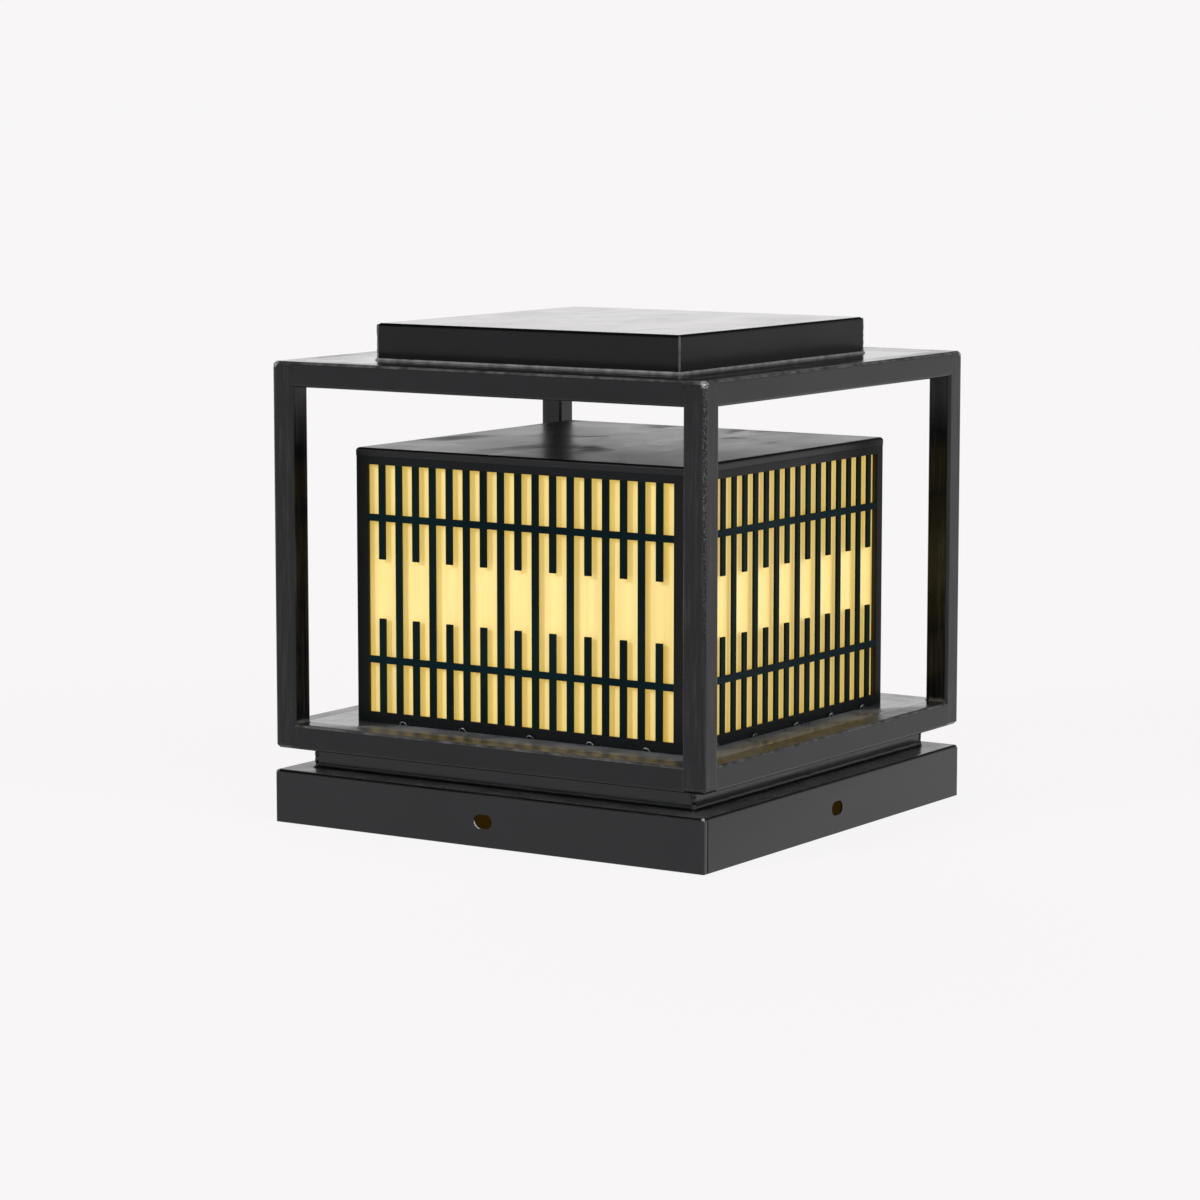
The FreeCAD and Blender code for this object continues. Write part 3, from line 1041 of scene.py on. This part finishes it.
def screw_head(name, place, down, slot):
    """Hexagon head with a flange."""
    form = bmesh.new()
    foot = Vector((0, 0, 0))
    top = screw_flange_height + screw_hex_height
    flange = (
        (screw_flange_radius, 0),
        (screw_flange_radius, screw_flange_height / 2),
        (screw_flange_radius - screw_ease, screw_flange_height),
    )
    lathe(form, flange, foot)
    prism(form, foot, screw_hex_radius, screw_flange_height, top, hexagon, screw_ease)
    seat_fastener(name, form, place, down, slot)


def screw_end(name, place, down, slot):
    """Hexagon nut with the screw's end standing out of it."""
    form = bmesh.new()
    foot = Vector((0, 0, 0))
    prism(form, foot, nut_radius, 0, nut_height, hexagon, nut_ease)
    prism(form, foot, screw_radius, nut_height, nut_height + screw_tip, screw_sides, nut_ease)
    seat_fastener(name, form, place, down, slot)


def fasteners():
    """Gear plate screws and their weld nuts, lampholder screws and nuts, and the earth screw."""
    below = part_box("gear_plate")[0].z
    floor_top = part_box("floor_plate")[1].z
    ear_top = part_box("gear_plate")[1].z + holder_base_height
    for index, (sx, sy) in enumerate(CORNERS[1:] + CORNERS[:1], start=1):
        x = sx * gear_screw_place
        y = sy * gear_screw_place
        screw_head("gear_screw_%d" % index, Vector((x, y, below)), True, "zinc_steel")
        screw_end("gear_nut_%d" % index, Vector((x, y, floor_top)), False, "zinc_steel")
    for index, sy in enumerate((-1, 1), start=1):
        y = sy * holder_screw_place
        screw_head("holder_screw_%d" % index, Vector((0, y, ear_top)), False, "zinc_steel")
        screw_end("holder_nut_%d" % index, Vector((0, y, below)), True, "zinc_steel")
    screw_head("earth_screw", Vector((earth_place, 0, below)), True, "brass")


def lamp_thread():
    """Rolled thread on the lamp's cap, running out at both ends."""
    low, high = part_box("lamp_cap")
    form = bmesh.new()
    levels = 64
    rings = []
    for level in range(levels + 1):
        share = level / levels
        height = low.z + (high.z - low.z) * share
        fade = min(1.0, share / thread_runout, (1 - share) / thread_runout)
        circle = []
        for step in range(lamp_sides):
            a = 2 * math.pi * step / lamp_sides
            wave = 0.5 - 0.5 * math.cos(2 * math.pi * (height / thread_pitch) - a)
            radius = high.x - thread_depth * (wave * fade + (1 - fade) * runout_depth)
            circle.append(form.verts.new((math.cos(a) * radius, math.sin(a) * radius, height)))
        rings.append(circle)
    skin(form, rings)
    cap = add_piece("lamp_thread", form, "lamp", materials["lamp_cap_metal"])
    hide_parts("lamp_cap")


def lamp_round_end():
    """Lamp cover with a round end."""
    low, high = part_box("lamp_cover")
    form = bmesh.new()
    profile = [(high.x, low.z), (high.x, high.z - lamp_end_radius)]
    bends = 10
    for step in range(1, bends + 1):
        a = math.pi / 2 * step / bends
        radius = high.x - lamp_end_radius * (1 - math.cos(a))
        profile.append((radius, high.z - lamp_end_radius * (1 - math.sin(a))))
    lathe(form, profile, Vector((0, 0, 0)), lamp_sides)
    cover = add_piece("lamp_cover_round", form, "lamp", materials["opal_cover"])
    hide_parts("lamp_cover")


def mapped(tree, value, low, high, start=0.0, end=1.0):
    """A value mapped to a range."""
    node = tree.nodes.new("ShaderNodeMapRange")
    tree.links.new(value, node.inputs["Value"])
    node.inputs["From Min"].default_value = start
    node.inputs["From Max"].default_value = end
    node.inputs["To Min"].default_value = low
    node.inputs["To Max"].default_value = high
    return node.outputs["Result"]


def joined(tree, operation, *values):
    """Values through one math node."""
    node = tree.nodes.new("ShaderNodeMath")
    node.operation = operation
    for value, socket in zip(values, node.inputs):
        tree.links.new(value, socket)
    return node.outputs[0]


def chosen(tree, factor, first, second):
    """The first value at factor 0, the second at 1."""
    node = tree.nodes.new("ShaderNodeMix")
    tree.links.new(factor, node.inputs["Factor"])
    for socket, value in ((node.inputs[2], first), (node.inputs[3], second)):
        if isinstance(value, bpy.types.NodeSocket):
            tree.links.new(value, socket)
        else:
            socket.default_value = value
    return node.outputs[0]


def split_axes(tree, vector):
    """The three values of a vector."""
    node = tree.nodes.new("ShaderNodeSeparateXYZ")
    tree.links.new(vector, node.inputs[0])
    return node.outputs


def clear_view(tree, path):
    """1 for rays from the camera, also through glass."""
    return joined(tree, "MAXIMUM", path["Is Camera Ray"], path["Is Transmission Ray"])


def sky_strength(tree):
    """White to the camera; to gloss a pale horizon, a dim ceiling and a soft box behind on the left."""
    path = tree.nodes.new("ShaderNodeLightPath").outputs
    direction = tree.nodes.new("ShaderNodeTexCoord").outputs["Generated"]
    up = split_axes(tree, direction)["Z"]
    height = mapped(tree, up, 1.0, ceiling_gloss, ceiling_start, ceiling_end)
    toward = tree.nodes.new("ShaderNodeVectorMath")
    toward.operation = "DOT_PRODUCT"
    tree.links.new(direction, toward.inputs[0])
    toward.inputs[1].default_value = rim_direction.normalized()
    brightest = horizon_gloss + rim_gloss
    wall = mapped(tree, toward.outputs["Value"], horizon_gloss, brightest, rim_start, rim_end)
    gloss = joined(tree, "MULTIPLY", wall, height)
    lit = chosen(tree, path["Is Glossy Ray"], sky_fill, gloss)
    return chosen(tree, clear_view(tree, path), lit, 1.0)


def studio_sky():
    """Pale sky all round."""
    world = bpy.data.worlds.new("studio")
    bpy.context.scene.world = world
    world.use_nodes = True
    tree = world.node_tree
    sky = tree.nodes["Background"]
    sky.inputs["Color"].default_value = background
    tree.links.new(sky_strength(tree), sky.inputs["Strength"])


def studio_lights():
    """Key light from the front left, wide lights from the right, and one from behind on the left."""
    for name, (strength, softness, direction) in lights.items():
        light = bpy.data.lights.new(name, "SUN")
        light.energy = strength
        light.angle = softness
        lamp = bpy.data.objects.new(name, light)
        lamp.rotation_euler = direction.to_track_quat("Z", "Y").to_euler()
        lamp.visible_glossy = name in lights_in_gloss
        bpy.context.scene.collection.objects.link(lamp)


def floor_colour(tree):
    """White outside the skirt's outline, and dark inside it as painted shade."""
    axes = split_axes(tree, tree.nodes.new("ShaderNodeNewGeometry").outputs["Position"])
    reach = [joined(tree, "ABSOLUTE", axes[name]) for name in ("X", "Y")]
    edge = joined(tree, "MAXIMUM", *reach)
    inner, outer = [cad_high.x - inset for inset in painted_skirt_shade_fade]
    tint = tree.nodes.new("ShaderNodeMix")
    tint.data_type = "RGBA"
    tree.links.new(mapped(tree, edge, 0.0, 1.0, inner, outer), tint.inputs["Factor"])
    tint.inputs[6].default_value = painted_skirt_shade
    tint.inputs[7].default_value = floor_white
    return tint.outputs[2]


def floor_material():
    """Pale floor: mostly an even white where it is seen, with soft shadows in it."""
    material = bpy.data.materials.new("pale_floor")
    material.use_nodes = True
    tree = material.node_tree
    tree.nodes.remove(tree.nodes["Principled BSDF"])
    ground = tree.nodes.new("ShaderNodeBsdfDiffuse")
    ground.inputs["Color"].default_value = floor_albedo
    glow = tree.nodes.new("ShaderNodeEmission")
    tree.links.new(floor_colour(tree), glow.inputs["Color"])
    path = tree.nodes.new("ShaderNodeLightPath").outputs
    seen = joined(tree, "MAXIMUM", clear_view(tree, path), path["Is Glossy Ray"])
    blend = tree.nodes.new("ShaderNodeMixShader")
    tree.links.new(mapped(tree, seen, 0.0, floor_glow), blend.inputs[0])
    tree.links.new(ground.outputs[0], blend.inputs[1])
    tree.links.new(glow.outputs[0], blend.inputs[2])
    tree.links.new(blend.outputs[0], tree.nodes["Material Output"].inputs["Surface"])
    return material


def studio_floor():
    """Level floor under the skirt's rim."""
    form = bmesh.new()
    bmesh.ops.create_grid(form, x_segments=1, y_segments=1, size=floor_size)
    mesh = bpy.data.meshes.new("floor")
    form.to_mesh(mesh)
    form.free()
    mesh.materials.append(floor_material())
    floor = bpy.data.objects.new("floor", mesh)
    floor.location.z = cad_low.z
    bpy.context.scene.collection.objects.link(floor)


def place_camera():
    """Camera at the photograph's viewing angle."""
    data = bpy.data.cameras.new("camera")
    data.lens = camera_lens
    data.sensor_width = camera_sensor
    camera = bpy.data.objects.new("camera", data)
    bpy.context.scene.collection.objects.link(camera)
    level = math.cos(camera_elevation)
    across = math.sin(camera_azimuth) * level
    ahead = -math.cos(camera_azimuth) * level
    back = Vector((across, ahead, math.sin(camera_elevation)))
    right = Vector((math.cos(camera_azimuth), math.sin(camera_azimuth), 0))
    target = Vector((0, 0, target_height)) + right * target_shift
    camera.location = target + back * camera_distance
    camera.rotation_euler = back.to_track_quat("Z", "Y").to_euler()
    bpy.context.scene.camera = camera


dress_nodes()
ease_sheet_metal()
weld_tacks()
rail_welds()
neck_weld("neck_foot_weld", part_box("base_skirt")[1].z, 1)
neck_weld("neck_head_weld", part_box("bottom_rail_front")[0].z + tube_radius / 2, -1)
cap_seal()
cap_corner_welds()
neck_corner_welds()
rail_fillets()
plate_filler("roof_filler", "roof_plate", "top_rail_front", "roof")
plate_filler("floor_filler", "floor_plate", "bottom_rail_front", "floor")
fasteners()
lamp_thread()
lamp_round_end()
studio_sky()
studio_lights()
studio_floor()
place_camera()
bpy.context.scene.view_settings.view_transform = "Standard"
